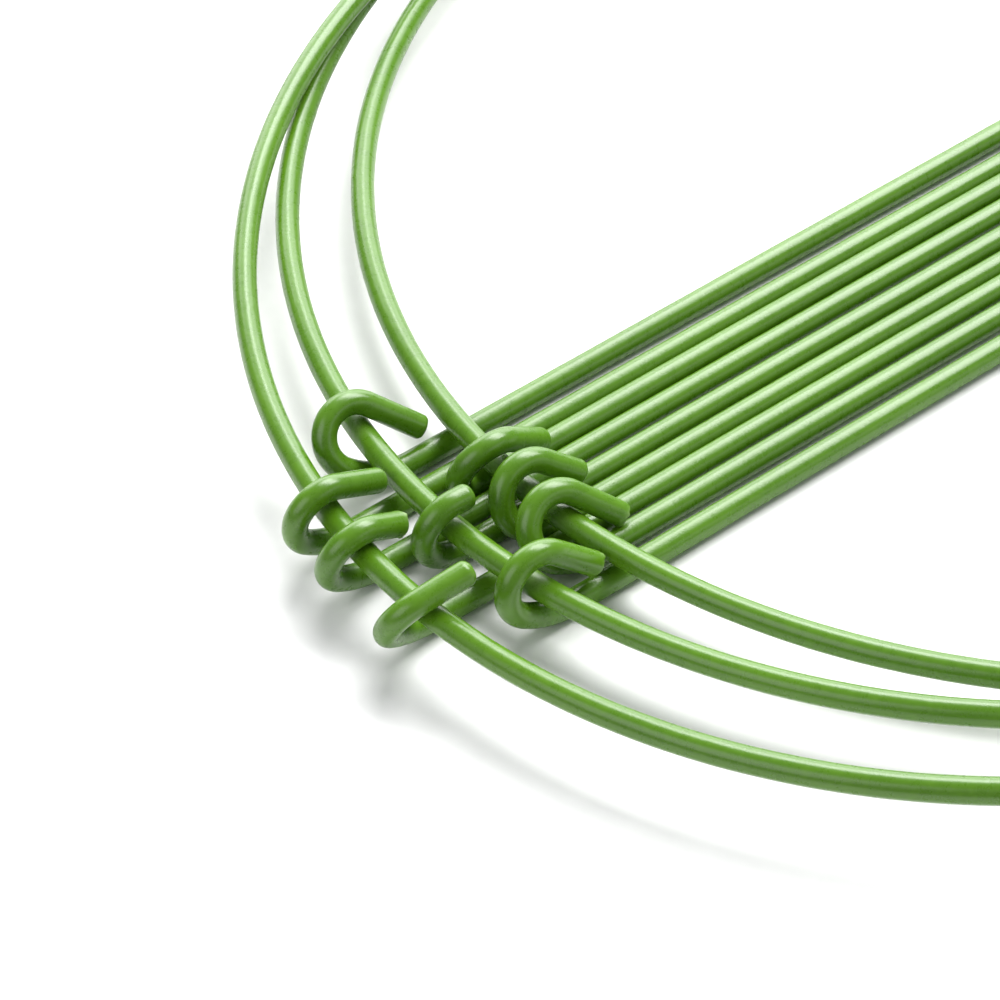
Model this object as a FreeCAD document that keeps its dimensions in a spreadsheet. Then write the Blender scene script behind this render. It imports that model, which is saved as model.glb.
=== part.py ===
# Set of three equal floral ring frames, stored nested and folded flat.
# Each frame is one ring of plastic-coated steel wire with three folding legs, and each leg has
# an eye bent round the ring wire.  Millimetres, +Z up.  The origin is the centre of the middle
# ring at the level of the surface that the set lies on, and +X runs along the folded legs.
import FreeCAD, Part
import math
import os
import Sketcher

doc = FreeCAD.newDocument("RingFrameSet")
sheet = doc.addObject("Spreadsheet::Sheet", "Sizes")

commonSizes = {
    "ringRadius": 123.0,      # centre line of each ring
    "wireRadius": 2.0,        # outside of the plastic coat
    "coreRadius": 1.6,        # bare steel wire
    "legLength": 400.0,       # straight steel of a leg, from its far end to the first bend
    "crankRadius": 14.5,      # gentle bend that lifts the wire off the rod's line
    "eyeRadius": 5.3,         # centre line of the eye round the ring wire
    "tipCover": 0.8,          # plastic over a cut end
    "tipRound": 1.25,         # rounding of the plastic at a cut end
}

# Rings, from the one drawn out furthest to the one pushed in furthest.  Each next ring lies on
# the one before it, so it is pitched a little more about Y.
rings = {
    "outer": {"x": -14.25, "y": -9.58, "z": 17.25, "pitch": 3.3},
    "middle": {"x": 0.0, "y": 0.0, "z": 11.5, "pitch": 1.7},
    "inner": {"x": 13.87, "y": -1.44, "z": 6.7, "pitch": 0.0},
}

# Legs: y of the rod, x where its bend starts, height of the rod above the surface, lean of the
# hook about the rod, rise of the wire at the end of the crank, whole turn of the wire up to the
# tail, and length of the tail.
legs = {
    "middle_1": {"y": 12.95, "x": -116.81, "height": 2.0, "lean": 32.4, "rise": 4.14, "turn": 228.2, "tail": 9.3},
    "outer_1": {"y": 6.57, "x": -130.64, "height": 2.0, "lean": -6.7, "rise": 3.58, "turn": 207.5, "tail": 8.4},
    "inner_1": {"y": 2.12, "x": -110.02, "height": 2.5, "lean": -19.2, "rise": 0.04, "turn": 222.9, "tail": 9.4},
    "outer_2": {"y": -2.22, "x": -131.39, "height": 2.0, "lean": -14.1, "rise": 3.46, "turn": 212.2, "tail": 5.0},
    "middle_2": {"y": -7.27, "x": -119.25, "height": 2.0, "lean": -4.7, "rise": 1.10, "turn": 183.6, "tail": 2.5},
    "inner_2": {"y": -11.92, "x": -105.80, "height": 2.0, "lean": 22.8, "rise": 1.27, "turn": 222.8, "tail": 6.8},
    "outer_3": {"y": -16.10, "x": -130.55, "height": 2.0, "lean": -26.8, "rise": 5.28, "turn": 173.0, "tail": 8.3},
    "inner_3": {"y": -20.96, "x": -105.66, "height": 2.0, "lean": 29.9, "rise": 2.02, "turn": 228.5, "tail": 8.8},
    "middle_3": {"y": -26.76, "x": -115.12, "height": 2.0, "lean": 5.3, "rise": 2.86, "turn": 224.5, "tail": 8.5},
}


def titled(*words):
    return "".join(word[0].upper() + word[1:] for name in words for word in name.split("_"))


def fillSheet():
    cells = dict(commonSizes)
    for name, ring in rings.items():
        for key, value in ring.items():
            cells["ring" + titled(name, key)] = value
    for name, leg in legs.items():
        for key, value in leg.items():
            cells["leg" + titled(name, key)] = value
    for row, (alias, value) in enumerate(cells.items(), start=1):
        sheet.set("A%d" % row, alias)
        sheet.set("B%d" % row, str(value))
        sheet.setAlias("B%d" % row, alias)
    doc.recompute()


def size(alias):
    return float(sheet.get(alias))


def originPlane(body, role):
    return next(feature for feature in body.Origin.OriginFeatures if feature.Role == role)


def ringPlacement(name):
    centre = FreeCAD.Vector(*(size("ring" + titled(name, axis)) for axis in "xyz"))
    pitch = size("ring" + titled(name, "pitch"))
    return FreeCAD.Placement(centre, FreeCAD.Rotation(FreeCAD.Vector(0, 1, 0), -pitch))


def makeRing(name):
    """Steel hoop, and the plastic coat that closes all round it."""
    core = doc.addObject("Part::Torus", "ring_%s_core" % name)
    skin = doc.addObject("Part::Torus", "ring_%s_skin" % name)
    for hoop, radius in ((core, "coreRadius"), (skin, "wireRadius")):
        hoop.setExpression("Radius1", "Sizes.ringRadius")
        hoop.setExpression("Radius2", "Sizes." + radius)
        hoop.Placement = ringPlacement(name)
    coat = doc.addObject("Part::Cut", "ring_%s_coat" % name)
    coat.Base = skin
    coat.Tool = core
    return [core, coat]


def hookPoints(leg, rod):
    """Junctions and centres of the wire's line: rod, crank arc, eye arc and tail."""
    crank = size("crankRadius")
    eye = size("eyeRadius")
    lift = math.acos(1 - leg["rise"] / crank)
    turn = math.radians(leg["turn"])
    crankCentre = FreeCAD.Vector(-rod, crank, 0)
    eyeCentre = crankCentre + FreeCAD.Vector(-math.sin(lift), -math.cos(lift), 0) * (crank - eye)
    return lift, turn, crankCentre, eyeCentre


def drawPath(body, name, leg, cover):
    """Line of the wire, drawn from the leg's far end at the local origin along -X."""
    sketch = body.newObject("Sketcher::SketchObject", name + "_path")
    sketch.AttachmentSupport = [(originPlane(body, "XZ_Plane"), "")]
    sketch.MapMode = "FlatFace"
    rod = size("legLength") + cover
    lift, turn, crankCentre, eyeCentre = hookPoints(leg, rod)
    crank = size("crankRadius")
    eye = size("eyeRadius")
    tail = leg["tail"] + cover
    normal = FreeCAD.Vector(0, 0, 1)
    eyeEnd = eyeCentre + FreeCAD.Vector(-math.sin(turn), -math.cos(turn), 0) * eye
    tailEnd = eyeEnd + FreeCAD.Vector(-math.cos(turn), math.sin(turn), 0) * tail
    down = 1.5 * math.pi
    rodLine = sketch.addGeometry(
        Part.LineSegment(FreeCAD.Vector(0, 0, 0), FreeCAD.Vector(-rod, 0, 0)))
    crankArc = sketch.addGeometry(
        Part.ArcOfCircle(Part.Circle(crankCentre, normal, crank), down - lift, down))
    eyeArc = sketch.addGeometry(
        Part.ArcOfCircle(Part.Circle(eyeCentre, normal, eye), down - turn, down - lift))
    tailLine = sketch.addGeometry(Part.LineSegment(eyeEnd, tailEnd))

    def constrain(*words):
        return sketch.addConstraint(Sketcher.Constraint(*words))

    constrain("Coincident", rodLine, 1, -1, 1)
    constrain("Horizontal", rodLine)
    constrain("Tangent", rodLine, 2, crankArc, 2)
    constrain("Tangent", crankArc, 1, eyeArc, 2)
    constrain("Tangent", eyeArc, 1, tailLine, 1)
    alias = "Sizes.leg" + titled(name)
    extra = " + Sizes.tipCover" if cover else ""
    bound = (
        (constrain("DistanceX", rodLine, 2, rodLine, 1, rod), "Sizes.legLength" + extra),
        (constrain("Radius", crankArc, crank), "Sizes.crankRadius"),
        (constrain("Radius", eyeArc, eye), "Sizes.eyeRadius"),
        (constrain("DistanceY", rodLine, 2, crankArc, 1, leg["rise"]), alias + "Rise"),
        (constrain("Distance", tailLine, tail), alias + "Tail" + extra),
        (constrain("Angle", rodLine, 2, tailLine, 1, math.pi - turn),
         "(180 - " + alias + "Turn) * 1 deg"),
    )
    for index, formula in bound:
        sketch.setExpression("Constraints[%d]" % index, formula)
    return sketch


def makeWire(name, label, leg, radius, cover):
    """Round wire swept along the leg's path."""
    body = doc.addObject("PartDesign::Body", label)
    path = drawPath(body, name, leg, cover)
    section = body.newObject("Sketcher::SketchObject", label + "_section")
    section.AttachmentSupport = [(originPlane(body, "YZ_Plane"), "")]
    section.MapMode = "FlatFace"
    circle = section.addGeometry(
        Part.Circle(FreeCAD.Vector(0, 0, 0), FreeCAD.Vector(0, 0, 1), size(radius)))
    section.addConstraint(Sketcher.Constraint("Coincident", circle, 3, -1, 1))
    bound = section.addConstraint(Sketcher.Constraint("Radius", circle, size(radius)))
    section.setExpression("Constraints[%d]" % bound, "Sizes." + radius)
    pipe = body.newObject("PartDesign::AdditivePipe", label + "_pipe")
    pipe.Profile = section
    pipe.Spine = (path, [])
    doc.recompute()
    return body, pipe


def endEdges(shape):
    """Names of the two circles that end the wire: each belongs to one flat face."""
    names = []
    for face in shape.Faces:
        if isinstance(face.Surface, Part.Plane):
            for edge in face.Edges:
                match = next(i for i, other in enumerate(shape.Edges, 1) if other.isSame(edge))
                names.append("Edge%d" % match)
    return names


def makeLeg(name):
    """Steel leg with its hook, and the dipped plastic coat that closes over both cut ends."""
    leg = {key: size("leg" + titled(name, key)) for key in legs[name]}
    cover = size("tipCover")
    core, corePipe = makeWire(name, "leg_%s_core" % name, leg, "coreRadius", 0)
    skin, skinPipe = makeWire(name, "leg_%s_skin" % name, leg, "wireRadius", cover)
    rounding = skin.newObject("PartDesign::Fillet", "leg_%s_tips" % name)
    rounding.Base = (skinPipe, endEdges(skinPipe.Shape))
    rounding.setExpression("Radius", "Sizes.tipRound")
    skin.Tip = rounding
    lean = FreeCAD.Rotation(FreeCAD.Vector(1, 0, 0), -leg["lean"])
    farEnd = leg["x"] + size("legLength")
    core.Placement = FreeCAD.Placement(
        FreeCAD.Vector(farEnd, leg["y"], leg["height"]), lean)
    skin.Placement = FreeCAD.Placement(
        FreeCAD.Vector(farEnd + cover, leg["y"], leg["height"]), lean)
    coat = doc.addObject("Part::Cut", "leg_%s_coat" % name)
    coat.Base = skin
    coat.Tool = core
    return [core, coat]


def checkDocument(pieces):
    failed = [item.Label for item in doc.Objects if {"Invalid", "Error"} & set(item.State)]
    failed += [piece.Label for piece in pieces if piece.Shape.isNull() or not piece.Shape.isValid()]
    if failed:
        raise RuntimeError("failed: " + ", ".join(failed))


def exportPieces(pieces):
    os.makedirs("parts", exist_ok=True)
    for piece in pieces:
        piece.Shape.exportStep("parts/%s.step" % piece.Label)
        print("%-22s %9.1f mm3" % (piece.Label, piece.Shape.Volume))


fillSheet()
pieces = []
for ringName in rings:
    pieces += makeRing(ringName)
for legName in legs:
    pieces += makeLeg(legName)
doc.recompute()
checkDocument(pieces)
exportPieces(pieces)
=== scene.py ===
import math

import bpy
import numpy as np
from mathutils import Matrix, Vector


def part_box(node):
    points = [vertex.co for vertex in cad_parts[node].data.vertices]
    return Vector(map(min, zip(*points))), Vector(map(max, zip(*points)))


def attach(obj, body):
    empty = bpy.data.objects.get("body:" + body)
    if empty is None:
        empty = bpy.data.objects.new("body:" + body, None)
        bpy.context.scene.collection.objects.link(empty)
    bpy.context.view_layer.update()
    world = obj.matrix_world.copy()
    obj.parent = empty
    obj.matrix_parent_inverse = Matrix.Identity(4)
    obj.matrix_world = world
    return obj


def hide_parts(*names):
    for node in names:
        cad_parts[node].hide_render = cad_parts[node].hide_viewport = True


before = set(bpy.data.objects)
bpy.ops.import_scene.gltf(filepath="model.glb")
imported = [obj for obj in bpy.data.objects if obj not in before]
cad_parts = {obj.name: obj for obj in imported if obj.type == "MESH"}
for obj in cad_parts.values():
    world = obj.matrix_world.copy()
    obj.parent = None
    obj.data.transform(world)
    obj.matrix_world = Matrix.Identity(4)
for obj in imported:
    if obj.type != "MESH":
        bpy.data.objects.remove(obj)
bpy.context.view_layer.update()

mm = 0.001
print("frame loaded:", len(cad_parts), "nodes")

# the coated wire that every piece is bent from
wire = {
    "radius": 2.0 * mm,           # over the coat
    "sides": 26,                  # points round the wire
    "step": 0.55 * mm,            # along a straight or a ring
    "fineStep": 0.24 * mm,        # along a hook
    "ripple": 0.011,              # slow swelling of the coat, share of the radius
    "waves": ((3, 0.35), (7, 0.3), (17, 0.25), (41, 0.2), (97, 0.12)),  # count per span, share
    "waveSpan": 0.45,             # metres that hold that count
    "settle": 0.4,                # share of the ripple taken off, so that the wire keeps its size
    "specksPerMetre": 46,
    "speckHeight": (0.018 * mm, 0.060 * mm),
    "speckWidth": (0.16 * mm, 0.42 * mm),
    "speckStretch": (1.0, 1.9),   # a speck's length along the wire over its width
    "rubReach": 2.0 * mm,         # how far the rubbed look spreads from a crossing
    "seed": 4127,
}

# centre of each ring in mm, and the tip of its plane about Y in degrees
ringSettings = {
    "outer": {"centre": (-14.25, -9.58, 17.25), "pitch": 3.3},
    "middle": {"centre": (0.0, 0.0, 11.5), "pitch": 1.7},
    "inner": {"centre": (13.87, -1.44, 6.7), "pitch": 0.0},
}
ringCommon = {
    "radius": 123.0 * mm,
    "weldPlace": 0.02,            # share of the way round the ring
    "weldHeight": 0.16 * mm,
    "weldWidth": 1.5 * mm,
}

legCommon = {
    "length": 400.0 * mm,
    "crank": 14.5 * mm,
    "eye": 5.3 * mm,
    "cover": 0.8 * mm,            # coat over each end of the steel
    "farEdge": 1.25 * mm,         # rounding of the far end
    "endPoints": 9,               # rows over the rounding of an end
    "hookLead": 2.0 * mm,         # the fine rows start this far before the crank
    "nibDepth": 1.3 * mm,         # length of the cut end that is uneven
    "crumbWidth": (0.16 * mm, 0.36 * mm),
    "seatDepth": 0.02 * mm,       # how far the middle of a cut end stands out
    "tornFrom": 0.12 * mm,        # unevenness from which a whole cut end looks torn
    "crumbPale": 0.2 * mm,        # height from which a crumb is quite pale
}
# in mm and degrees: y, x and height of the rod at its crank, lean of the hook's plane, rise into the eye,
# turn of the eye from the rod, length of the tail, and the kind of cut end
legSettings = {
    "middle_1": {"y": 12.95, "x": -116.81, "height": 2.0, "lean": 32.4, "rise": 4.14,
                 "turn": 228.2, "tail": 9.3, "tip": "flat"},
    "outer_1": {"y": 6.57, "x": -130.64, "height": 2.0, "lean": -6.7, "rise": 3.58,
                "turn": 207.5, "tail": 8.4, "tip": "round"},
    "inner_1": {"y": 2.12, "x": -110.02, "height": 2.5, "lean": -19.2, "rise": 0.04,
                "turn": 222.9, "tail": 9.4, "tip": "round"},
    "outer_2": {"y": -2.22, "x": -131.39, "height": 2.0, "lean": -14.1, "rise": 3.46,
                "turn": 212.2, "tail": 5.0, "tip": "burr"},
    "middle_2": {"y": -7.27, "x": -119.25, "height": 2.0, "lean": -4.7, "rise": 1.1,
                 "turn": 183.6, "tail": 2.5, "tip": "round"},
    "inner_2": {"y": -11.92, "x": -105.8, "height": 2.0, "lean": 22.8, "rise": 1.27,
                "turn": 222.8, "tail": 6.8, "tip": "nib"},
    "outer_3": {"y": -16.1, "x": -130.55, "height": 2.0, "lean": -26.8, "rise": 5.28,
                "turn": 173.0, "tail": 8.3, "tip": "round"},
    "inner_3": {"y": -20.96, "x": -105.66, "height": 2.0, "lean": 29.9, "rise": 2.02,
                "turn": 228.5, "tail": 8.8, "tip": "crumb"},
    "middle_3": {"y": -26.76, "x": -115.12, "height": 2.0, "lean": 5.3, "rise": 2.86,
                 "turn": 224.5, "tail": 8.5, "tip": "torn"},
}
# how each kind of cut end is finished: rounding of its edge, unevenness, and number and height of its crumbs
tipKinds = {
    "flat": {"edge": 0.75 * mm, "rough": 0.05 * mm, "crumbs": 2, "crumbHeight": 0.12 * mm},
    "round": {"edge": 1.35 * mm, "rough": 0.03 * mm, "crumbs": 1, "crumbHeight": 0.10 * mm},
    "burr": {"edge": 0.45 * mm, "rough": 0.16 * mm, "crumbs": 9, "crumbHeight": 0.30 * mm},
    "nib": {"edge": 1.20 * mm, "rough": 0.05 * mm, "crumbs": 2, "crumbHeight": 0.34 * mm},
    "crumb": {"edge": 0.80 * mm, "rough": 0.14 * mm, "crumbs": 9, "crumbHeight": 0.34 * mm},
    "torn": {"edge": 0.60 * mm, "rough": 0.20 * mm, "crumbs": 8, "crumbHeight": 0.46 * mm},
}


def ringPath(ring, s):
    # circle about the ring's centre, its plane tipped by pitch about Y
    theta = s / ringCommon["radius"]
    pitch = math.radians(ring["pitch"])
    across = np.array((math.cos(pitch), 0.0, math.sin(pitch)))
    along = np.array((0.0, 1.0, 0.0))
    outward = np.cos(theta)[:, None] * across + np.sin(theta)[:, None] * along
    tangent = -np.sin(theta)[:, None] * across + np.cos(theta)[:, None] * along
    points = np.array(ring["centre"]) * mm + ringCommon["radius"] * outward
    return points, tangent, outward


def legMarks(leg):
    # distances from the far end at which the crank, the eye, the tail and the end begin
    crank, eye = legCommon["crank"], legCommon["eye"]
    lift = math.acos(1.0 - leg["rise"] * mm / crank)
    crankStart = legCommon["length"]
    eyeStart = crankStart + crank * lift
    tailStart = eyeStart + eye * (math.radians(leg["turn"]) - lift)
    return lift, crankStart, eyeStart, tailStart, tailStart + leg["tail"] * mm


def legPath(leg, s):
    # straight rod, shallow crank arc, eye arc and straight tail in one leaning plane
    crank, eye = legCommon["crank"], legCommon["eye"]
    lift, crankStart, eyeStart, tailStart = legMarks(leg)[:4]
    turn, lean = math.radians(leg["turn"]), math.radians(leg["lean"])
    eyeA = (crank - eye) * math.sin(lift)
    eyeB = crank - (crank - eye) * math.cos(lift)
    onCrank = (s - crankStart) / crank
    onEye = lift + (s - eyeStart) / eye
    onTail = s - tailStart
    zones = [s < crankStart, s < eyeStart, s < tailStart]
    a = np.select(zones, [s - crankStart, crank * np.sin(onCrank), eyeA + eye * np.sin(onEye)],
                  eyeA + eye * math.sin(turn) + onTail * math.cos(turn))
    b = np.select(zones, [0.0 * s, crank * (1.0 - np.cos(onCrank)), eyeB - eye * np.cos(onEye)],
                  eyeB - eye * math.cos(turn) + onTail * math.sin(turn))
    angle = np.select(zones, [0.0 * s, onCrank, onEye], turn)
    xAxis = np.array((1.0, 0.0, 0.0))
    upAxis = np.array((0.0, math.sin(lean), math.cos(lean)))
    base = np.array((leg["x"] * mm, leg["y"] * mm, leg["height"] * mm))
    points = base - a[:, None] * xAxis + b[:, None] * upAxis
    tangent = -np.cos(angle)[:, None] * xAxis + np.sin(angle)[:, None] * upAxis
    outward = np.sin(angle)[:, None] * xAxis + np.cos(angle)[:, None] * upAxis
    return points, tangent, outward


def arcFrom(v, v0):
    # distance round the wire from v0 to v, the short way
    return wire["radius"] * (np.mod(v - v0 + np.pi, 2.0 * np.pi) - np.pi)


def coatSwell(s, v, length, rng):
    # sum of slow cosine waves along and round the wire, plus a Gaussian bump for each speck under the coat
    swell = np.zeros((len(s), len(v)))
    for count, share in wire["waves"]:
        turns = rng.integers(0, 3)
        phase = rng.uniform(0.0, 2.0 * np.pi)
        cycles = max(1, round(count * length / wire["waveSpan"]))
        swell += share * np.cos(2.0 * np.pi * cycles * s[:, None] / length + turns * v[None, :] + phase)
    swell *= wire["ripple"] * wire["radius"]
    for _ in range(int(wire["specksPerMetre"] * length)):
        s0, v0 = rng.uniform(0.0, length), rng.uniform(0.0, 2.0 * np.pi)
        height, width = rng.uniform(*wire["speckHeight"]), rng.uniform(*wire["speckWidth"])
        stretch = rng.uniform(*wire["speckStretch"])
        near = np.abs(s - s0) < 4.0 * width * stretch
        swell[near] += height * np.exp(-0.5 * (((s[near, None] - s0) / (width * stretch)) ** 2
                                               + (arcFrom(v, v0)[None, :] / width) ** 2))
    return swell


def meshFromGrid(name, grid, closed, startPole=None, endPole=None):
    # quads between neighbouring points of the grid, a fan of triangles at each pole
    rows, columns = grid.shape[:2]
    index = np.arange(rows * columns).reshape(rows, columns)
    below = index if closed else index[:-1]
    above = np.roll(index, -1, axis=0) if closed else index[1:]
    quads = (below, np.roll(below, -1, axis=-1), np.roll(above, -1, axis=-1), above)
    faces = np.stack(quads, axis=-1).reshape(-1, 4).tolist()
    points = grid.reshape(-1, 3)
    if not closed:
        points = np.vstack((points, startPole, endPole))
        first = np.full(columns, rows * columns)
        faces += np.stack((np.roll(index[0], -1), index[0], first), axis=-1).tolist()
        faces += np.stack((index[-1], np.roll(index[-1], -1), first + 1), axis=-1).tolist()
    mesh = bpy.data.meshes.new(name)
    mesh.from_pydata(points.tolist(), [], faces)
    mesh.polygons.foreach_set("use_smooth", np.ones(len(mesh.polygons), dtype=bool))
    mesh.update()
    piece = bpy.data.objects.new(name, mesh)
    bpy.context.scene.collection.objects.link(piece)
    return piece


def paintAttribute(piece, name, values):
    # one number for each point of the mesh, read by the coat material
    layer = piece.data.attributes.new(name, "FLOAT", "POINT")
    layer.data.foreach_set("value", np.asarray(values, dtype=np.float32))


def circleOffsets(outward, tangent, v):
    # unit directions round the wire: outward cos v + side sin v
    side = np.cross(tangent, outward)
    return np.cos(v)[None, :, None] * outward[:, None, :] + np.sin(v)[None, :, None] * side[:, None, :]


def rubMask(points, spots, reach):
    # 1 at the spots where two wires rub, falling off as a Gaussian over the reach
    mask = np.zeros(points.shape[:-1])
    for spot in spots:
        distance = np.linalg.norm(points - np.array(spot), axis=-1)
        mask = np.maximum(mask, np.exp(-0.5 * (distance / reach) ** 2))
    return mask


def buildRing(name, spots):
    # the wire's circle carried round the ring's circle
    ring = ringSettings[name]
    rng = np.random.default_rng(wire["seed"] + len(name) * 7 + ord(name[0]))
    length = 2.0 * np.pi * ringCommon["radius"]
    count = int(length / wire["step"])
    s = np.arange(count) * length / count
    v = np.arange(wire["sides"]) * 2.0 * np.pi / wire["sides"]
    points, tangent, outward = ringPath(ring, s)
    swell = coatSwell(s, v, length, rng)
    radius = wire["radius"] - wire["settle"] * wire["ripple"] * wire["radius"] + swell
    # butt weld under the coat, at the far side of the ring
    fromWeld = (s - ringCommon["weldPlace"] * length) / ringCommon["weldWidth"]
    radius += ringCommon["weldHeight"] * np.exp(-0.5 * fromWeld ** 2)[:, None]
    grid = points[:, None, :] + radius[:, :, None] * circleOffsets(outward, tangent, v)
    piece = meshFromGrid("coat_ring_" + name, grid, True)
    paintAttribute(piece, "rub", rubMask(grid, spots, wire["rubReach"]).reshape(-1))
    paintAttribute(piece, "cutEnd", np.zeros(count * wire["sides"]))
    return piece


def endProfile(edge, radius):
    # quarter circle of the edge rounding, then the flat: distance back from the end, and radius there
    angle = np.linspace(0.0, 0.5 * np.pi, legCommon["endPoints"])
    back = edge * (1.0 - np.sin(angle))
    across = radius - edge + edge * np.cos(angle)
    flat = np.array((0.75, 0.5, 0.25)) * (radius - edge)
    back = np.concatenate((back, np.zeros(len(flat))))
    across = np.concatenate((across, flat))
    return back, across


def buildLeg(name, spots):
    # the wire's circle carried along the leg, drawn in over the rounding of both ends
    leg = legSettings[name]
    kind = tipKinds[leg["tip"]]
    rng = np.random.default_rng(wire["seed"] + sum(ord(letter) for letter in name))
    crankStart, end = legCommon["length"], legMarks(leg)[-1]
    cover = legCommon["cover"]
    farBack, farAcross = endProfile(legCommon["farEdge"], wire["radius"])
    tipBack, tipAcross = endProfile(kind["edge"], wire["radius"])
    rodStart, tipStart = -cover + farBack[0], end + cover - tipBack[0]
    hookStart = crankStart - legCommon["hookLead"]
    rod = np.linspace(rodStart, hookStart, int(crankStart / wire["step"]))
    hook = np.linspace(hookStart, tipStart, int((tipStart - crankStart) / wire["fineStep"]))
    s = np.concatenate(((-cover + farBack)[:0:-1], rod, hook[1:], (end + cover - tipBack)[1:]))
    evenRadius = np.full(len(rod) + len(hook) - 1, wire["radius"])
    flatRadius = np.concatenate((farAcross[:0:-1], evenRadius, tipAcross[1:]))
    v = np.arange(wire["sides"]) * 2.0 * np.pi / wire["sides"]
    points, tangent, outward = legPath(leg, s)
    length = end + 2.0 * cover
    swell = coatSwell(s, v, length, rng)
    share = (flatRadius / wire["radius"])[:, None]
    radius = flatRadius[:, None] + share * (swell - wire["settle"] * wire["ripple"] * wire["radius"])
    directions = circleOffsets(outward, tangent, v)
    grid = points[:, None, :] + radius[:, :, None] * directions
    # cut end: uneven cut, and crumbs of coat standing off its rim
    depth = legCommon["nibDepth"]
    nearEnd = np.clip((s - (end + cover - depth)) / depth, 0.0, 1.0)[:, None]
    bumps = np.zeros_like(radius)
    for turns in (1, 2, 3, 5):
        bumps += rng.uniform(0.3, 1.0) / turns * np.cos(turns * v[None, :] + rng.uniform(0, 2 * np.pi))
    lengthwise = -kind["rough"] * (nearEnd ** 2) * (1.0 + bumps)
    crumbs = np.zeros_like(radius)
    for _ in range(kind["crumbs"]):
        s0 = end + cover - kind["edge"] * rng.uniform(0.1, 1.1)
        v0 = rng.uniform(0.0, 2.0 * np.pi)
        width = rng.uniform(*legCommon["crumbWidth"])
        spread = ((s[:, None] - s0) / width) ** 2 + (arcFrom(v, v0)[None, :] / width) ** 2
        crumbs += rng.uniform(0.4, 1.0) * kind["crumbHeight"] * np.exp(-0.5 * spread)
    grid = grid + lengthwise[:, :, None] * tangent[:, None, :]
    grid = grid + crumbs[:, :, None] * (0.8 * directions + 0.35 * tangent[:, None, :])
    piece = meshFromGrid("coat_leg_" + name, grid, False,
                         grid[0].mean(axis=0), grid[-1].mean(axis=0) + legCommon["seatDepth"] * tangent[-1])
    # the poles' own values come last, as their points do
    rub = rubMask(grid, spots, wire["rubReach"]).reshape(-1)
    paintAttribute(piece, "rub", np.concatenate((rub, (0.0, 0.0))))
    torn = np.clip(kind["rough"] / legCommon["tornFrom"], 0.15, 1.0)
    cut = torn * np.clip(nearEnd ** 1.5 * (0.7 + 0.5 * bumps), 0.0, 1.0)
    cutEnd = np.maximum(cut, np.clip(crumbs / legCommon["crumbPale"], 0.0, 1.0)).reshape(-1)
    paintAttribute(piece, "cutEnd", np.concatenate((cutEnd, (0.0, cut[-1].mean()))))
    return piece


class Socket:
    # wraps an output socket, so that sums of values add Math nodes
    def __init__(self, tree, socket):
        self.tree, self.socket = tree, socket

    def combine(self, operation, first, second, clamp=False):
        return self.tree.node("ShaderNodeMath", {"operation": operation, "use_clamp": clamp},
                              {0: first, 1: second}).out("Value")

    def __add__(self, other):
        return self.combine("ADD", self, other)

    def __radd__(self, other):
        return self.combine("ADD", other, self)

    def __mul__(self, other):
        return self.combine("MULTIPLY", self, other)

    def __rmul__(self, other):
        return self.combine("MULTIPLY", other, self)

    def clamped(self):
        return self.combine("ADD", self, 0.0, True)


class NodeHandle:
    # one node and the way to its outputs
    def __init__(self, tree, node):
        self.tree, self.node = tree, node

    def out(self, name=0):
        return Socket(self.tree, self.node.outputs[name])


class Finish:
    # a material with an empty node tree and one method that adds nodes
    def __init__(self, name):
        self.material = bpy.data.materials.new(name)
        self.material.use_nodes = True
        self.nodes = self.material.node_tree.nodes
        self.links = self.material.node_tree.links
        self.nodes.clear()

    def node(self, kind, settings=None, inputs=None):
        node = self.nodes.new(kind)
        for key, value in (settings or {}).items():
            setattr(node, key, value)
        for key, value in (inputs or {}).items():
            target = node.inputs[key]
            if isinstance(value, Socket):
                self.links.new(value.socket, target)
            else:
                target.default_value = value
        return NodeHandle(self, node)

    def mixColour(self, factor, first, second):
        # sockets 6, 7 and output 2 are the Mix node's colours
        return self.node("ShaderNodeMix", {"data_type": "RGBA"}, {0: factor, 6: first, 7: second}).out(2)

    def bump(self, height, strength, distance):
        inputs = {"Strength": strength, "Distance": distance, "Height": height}
        return self.node("ShaderNodeBump", None, inputs).out("Normal")

    def noise(self, vector, scale, detail=3.0, rough=0.5):
        inputs = {"Vector": vector, "Scale": scale, "Detail": detail, "Roughness": rough}
        return self.node("ShaderNodeTexNoise", None, inputs).out(0)

    def ramp(self, value, low, high):
        return self.node("ShaderNodeMapRange", {"interpolation_type": "SMOOTHSTEP"},
                         {"Value": value, "From Min": low, "From Max": high}).out(0)

    def attribute(self, name):
        return self.node("ShaderNodeAttribute", {"attribute_name": name}).out("Fac")

    def objectCoordinates(self):
        return self.node("ShaderNodeTexCoord").out("Object")

    def close(self, **inputs):
        named = {key.replace("_", " "): value for key, value in inputs.items()}
        shader = self.node("ShaderNodeBsdfPrincipled", None, named).out("BSDF")
        self.node("ShaderNodeOutputMaterial", None, {"Surface": shader})
        return self.material


# linear colours, and noise scales in cells per metre
coat = {
    "leaf": (0.080, 0.196, 0.0065, 1.0),
    "deep": (0.063, 0.163, 0.005, 1.0),
    "worn": (0.135, 0.245, 0.045, 1.0),
    "raw": (0.260, 0.390, 0.140, 1.0),
    "broadScale": 38.0,
    "mottleScale": 620.0,
    "peelScale": 1500.0,
    "fineScale": 5200.0,
    "shadeRange": (0.34, 0.66),
    "scratchRange": (0.62, 0.86),
    "tornRange": (0.35, 0.7),
    "gloss": 0.235,               # roughness of the plain coat, and what is added to it below
    "mottleRough": 0.09,
    "scratchRough": 0.22,
    "tornRough": 0.25,
    "bumpStrength": 0.16,
    "bumpDistance": 0.00022,
    "ior": 1.5,
}


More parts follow.
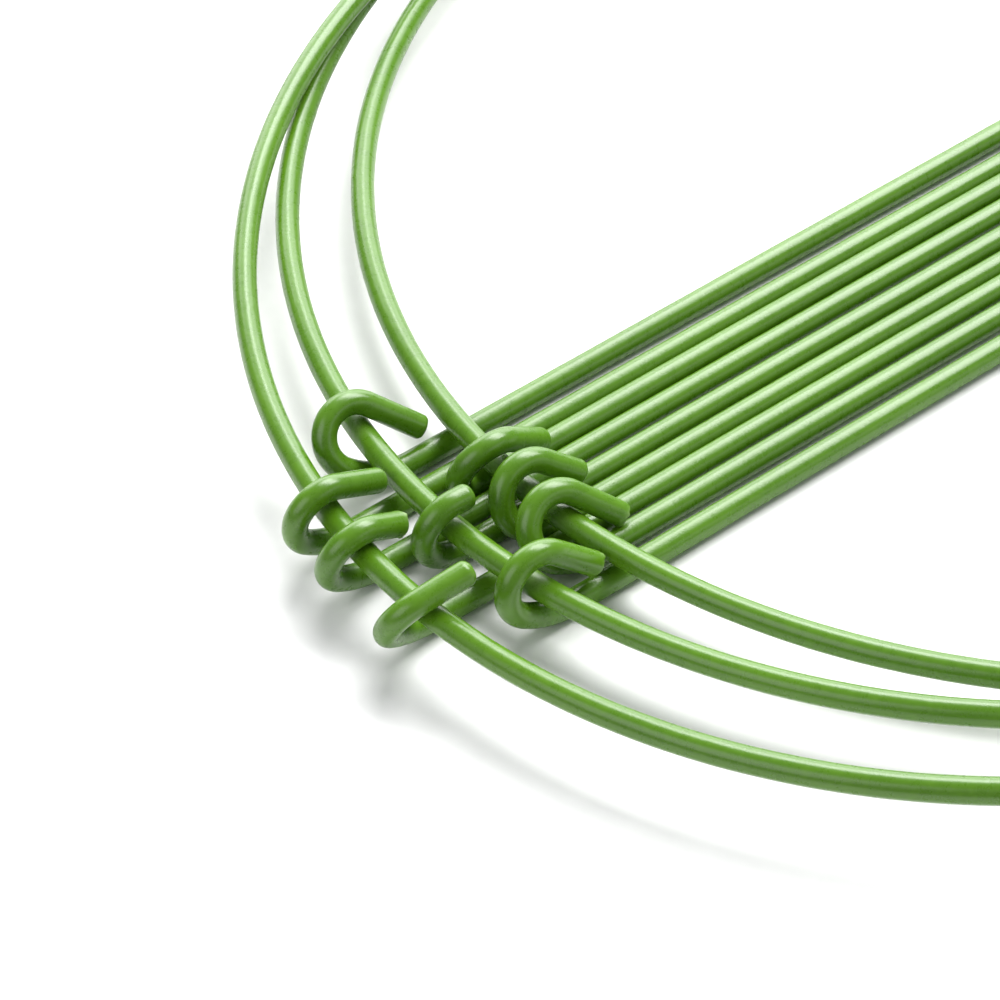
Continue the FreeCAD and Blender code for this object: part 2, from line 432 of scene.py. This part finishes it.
def greenCoat():
    # dipped plastic coat: leaf green, slightly mottled, paler where wires rub and at torn ends
    finish = Finish("green_coat")
    place = finish.objectCoordinates()
    broad = finish.noise(place, coat["broadScale"], 2.0)
    mottle = finish.noise(place, coat["mottleScale"], 3.0, 0.6)
    peel = finish.noise(place, coat["peelScale"], 2.0, 0.55)
    fine = finish.noise(place, coat["fineScale"], 2.0, 0.6)
    rub, cutEnd = finish.attribute("rub"), finish.attribute("cutEnd")
    shade = 0.55 * broad + 0.45 * mottle
    colour = finish.mixColour(finish.ramp(shade, *coat["shadeRange"]), coat["deep"], coat["leaf"])
    scratch = finish.ramp(fine + 0.35 * rub, *coat["scratchRange"]) * rub
    colour = finish.mixColour(scratch * 0.6, colour, coat["worn"])
    torn = (cutEnd * finish.ramp(mottle, *coat["tornRange"])).clamped()
    colour = finish.mixColour(torn * 0.75, colour, coat["raw"])
    rough = coat["gloss"] + coat["mottleRough"] * mottle
    rough = rough + coat["scratchRough"] * scratch + coat["tornRough"] * torn
    height = 0.35 * peel + 0.06 * fine + 0.6 * mottle + 0.5 * torn * fine
    bump = finish.bump(height, coat["bumpStrength"], coat["bumpDistance"])
    return finish.close(Base_Color=colour, Roughness=rough, Normal=bump, IOR=coat["ior"])


steel = {
    "dark": (0.42, 0.41, 0.39, 1.0),
    "light": (0.60, 0.59, 0.57, 1.0),
    "streakScale": 2400.0,
    "mottleScale": 90.0,
    "gloss": 0.28,
    "bumpStrength": 0.2,
    "bumpDistance": 0.0001,
}


def drawnSteel():
    # bright drawn wire: fine streaks and faint grey mottling
    finish = Finish("drawn_steel")
    place = finish.objectCoordinates()
    streak = finish.noise(place, steel["streakScale"], 3.0, 0.6)
    colour = finish.mixColour(finish.noise(place, steel["mottleScale"], 2.0), steel["dark"], steel["light"])
    bump = finish.bump(streak, steel["bumpStrength"], steel["bumpDistance"])
    return finish.close(Base_Color=colour, Metallic=1.0, Roughness=steel["gloss"] + 0.14 * streak, Normal=bump)


floorSheet = {
    "size": 8.0,                  # metres
    "rows": 9,
    "dark": (0.80, 0.80, 0.797, 1.0),
    "light": (0.84, 0.84, 0.837, 1.0),
    "toothScale": 300.0,
    "gloss": 0.9,
}


def floorFinish():
    # pale matt sheet with an even, very faint tooth
    finish = Finish("pale_floor")
    place = finish.objectCoordinates()
    tooth = finish.noise(place, floorSheet["toothScale"], 2.0)
    colour = finish.mixColour(tooth, floorSheet["dark"], floorSheet["light"])
    return finish.close(Base_Color=colour, Roughness=floorSheet["gloss"], Specular_IOR_Level=0.1)


coatFinish = greenCoat()
steelFinish = drawnSteel()
print("materials ready")


def eyeCentre(leg):
    # middle of the eye, where the ring's wire runs through: the eye's arc leaves the crank's arc along one
    # tangent, so its centre lies on the line between that point and the crank's centre
    crank, eye = legCommon["crank"], legCommon["eye"]
    lift, lean = legMarks(leg)[0], math.radians(leg["lean"])
    a, b = (crank - eye) * math.sin(lift), crank - (crank - eye) * math.cos(lift)
    return (leg["x"] * mm - a, leg["y"] * mm + b * math.sin(lean), leg["height"] * mm + b * math.cos(lean))


def boxGap(piece, node):
    # largest difference between the piece's box and the node's box
    low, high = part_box(node)
    points = np.empty(len(piece.data.vertices) * 3)
    piece.data.vertices.foreach_get("co", points)
    points = points.reshape(-1, 3)
    lowGap = np.abs(points.min(axis=0) - np.array(low)).max()
    highGap = np.abs(points.max(axis=0) - np.array(high)).max()
    return max(lowGap, highGap)


def fitPiece(piece, body, node):
    # coat material, body it rides on, and the plain solid it stands for
    piece.data.materials.append(coatFinish)
    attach(piece, body)
    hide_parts(node)
    print(piece.name, "ready, box gap", round(boxGap(piece, node) / mm, 3), "mm")


for name in ringSettings:
    spots = [eyeCentre(leg) for key, leg in legSettings.items() if key.startswith(name)]
    fitPiece(buildRing(name, spots), "frame_" + name, "ring_" + name + "_coat")

for name, leg in legSettings.items():
    fitPiece(buildLeg(name, [eyeCentre(leg)]), "leg_" + name, "leg_" + name + "_coat")

for nodeName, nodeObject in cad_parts.items():
    if nodeName.endswith("_core"):
        nodeObject.data.materials.clear()
        nodeObject.data.materials.append(steelFinish)
print("pieces ready")

# place, lens and sensor in mm, angles in degrees
studio = {
    "world": (0.80, 0.82, 0.84, 1.0),
    "worldStrength": 0.36,
    "cameraPlace": (-298.34, -310.07, 359.88),
    "down": 44.823,
    "heading": 58.645,
    "roll": -6.518,
    "lens": 120.2,
    "sensor": 36.0,
}
# heading and height of each box in degrees, distance and size in metres, and its radiance
softboxes = {
    "mainBox": {"heading": 22.0, "height": 57.0, "distance": 1.30,
                "width": 1.30, "tall": 0.60, "radiance": 14.5},
    "windowBox": {"heading": 58.0, "height": 24.0, "distance": 1.50,
                  "width": 2.10, "tall": 1.10, "radiance": 4.4},
    "sideBox": {"heading": -175.0, "height": 38.0, "distance": 1.30,
                "width": 0.95, "tall": 0.85, "radiance": 2.3},
    "lowBox": {"heading": -66.0, "height": 22.0, "distance": 1.40,
               "width": 1.10, "tall": 0.42, "radiance": 1.2},
}


def makeFloor():
    # flat square grid under the wires
    rows = floorSheet["rows"]
    side = np.linspace(-0.5, 0.5, rows) * floorSheet["size"]
    x, y = np.meshgrid(side, side, indexing="ij")
    points = np.stack((x, y, np.zeros_like(x)), axis=-1).reshape(-1, 3)
    index = np.arange(rows * rows).reshape(rows, rows)
    quads = np.stack((index[:-1, :-1], index[1:, :-1], index[1:, 1:], index[:-1, 1:]), axis=-1)
    mesh = bpy.data.meshes.new("floor")
    mesh.from_pydata(points.tolist(), [], quads.reshape(-1, 4).tolist())
    floor = bpy.data.objects.new("floor", mesh)
    bpy.context.scene.collection.objects.link(floor)
    floor.data.materials.append(floorFinish())


def makeSoftbox(name, box):
    # area lamp facing the origin; power = pi x area x radiance
    lamp = bpy.data.lights.new(name, "AREA")
    lamp.shape = "RECTANGLE"
    lamp.size, lamp.size_y = box["width"], box["tall"]
    lamp.energy = math.pi * box["width"] * box["tall"] * box["radiance"]
    lampObject = bpy.data.objects.new(name, lamp)
    heading, height = math.radians(box["heading"]), math.radians(box["height"])
    level = math.cos(height)
    toward = Vector((level * math.cos(heading), level * math.sin(heading), math.sin(height)))
    turned = toward.to_track_quat("Z", "Y").to_matrix().to_4x4()
    lampObject.matrix_world = Matrix.Translation(toward * box["distance"]) @ turned
    lampObject.visible_camera = False
    bpy.context.scene.collection.objects.link(lampObject)


def makeCamera():
    # looks along heading and down, then rolled about its own axis
    down, heading, roll = (math.radians(studio[key]) for key in ("down", "heading", "roll"))
    level = math.cos(down)
    forward = Vector((level * math.cos(heading), level * math.sin(heading), -math.sin(down)))
    right = Vector((math.sin(heading), -math.cos(heading), 0.0))
    up = right.cross(forward)
    camX = math.cos(roll) * right + math.sin(roll) * up
    camY = -math.sin(roll) * right + math.cos(roll) * up
    lensData = bpy.data.cameras.new("studioCamera")
    lensData.lens, lensData.sensor_width = studio["lens"], studio["sensor"]
    lensData.clip_start, lensData.clip_end = 0.01, 50.0
    lensData.dof.use_dof = False
    camera = bpy.data.objects.new("studioCamera", lensData)
    turned = Matrix((camX, camY, -forward)).transposed().to_4x4()
    camera.matrix_world = Matrix.Translation(Vector(studio["cameraPlace"]) * mm) @ turned
    bpy.context.scene.collection.objects.link(camera)
    bpy.context.scene.camera = camera


makeFloor()
for name, box in softboxes.items():
    makeSoftbox(name, box)
makeCamera()
world = bpy.data.worlds.new("studioWorld")
world.use_nodes = True
background = world.node_tree.nodes["Background"]
background.inputs["Color"].default_value = studio["world"]
background.inputs["Strength"].default_value = studio["worldStrength"]
scene = bpy.context.scene
scene.world = world
scene.view_settings.view_transform = "Standard"
scene.view_settings.look = "None"
scene.view_settings.exposure = 0.0
print("studio ready")
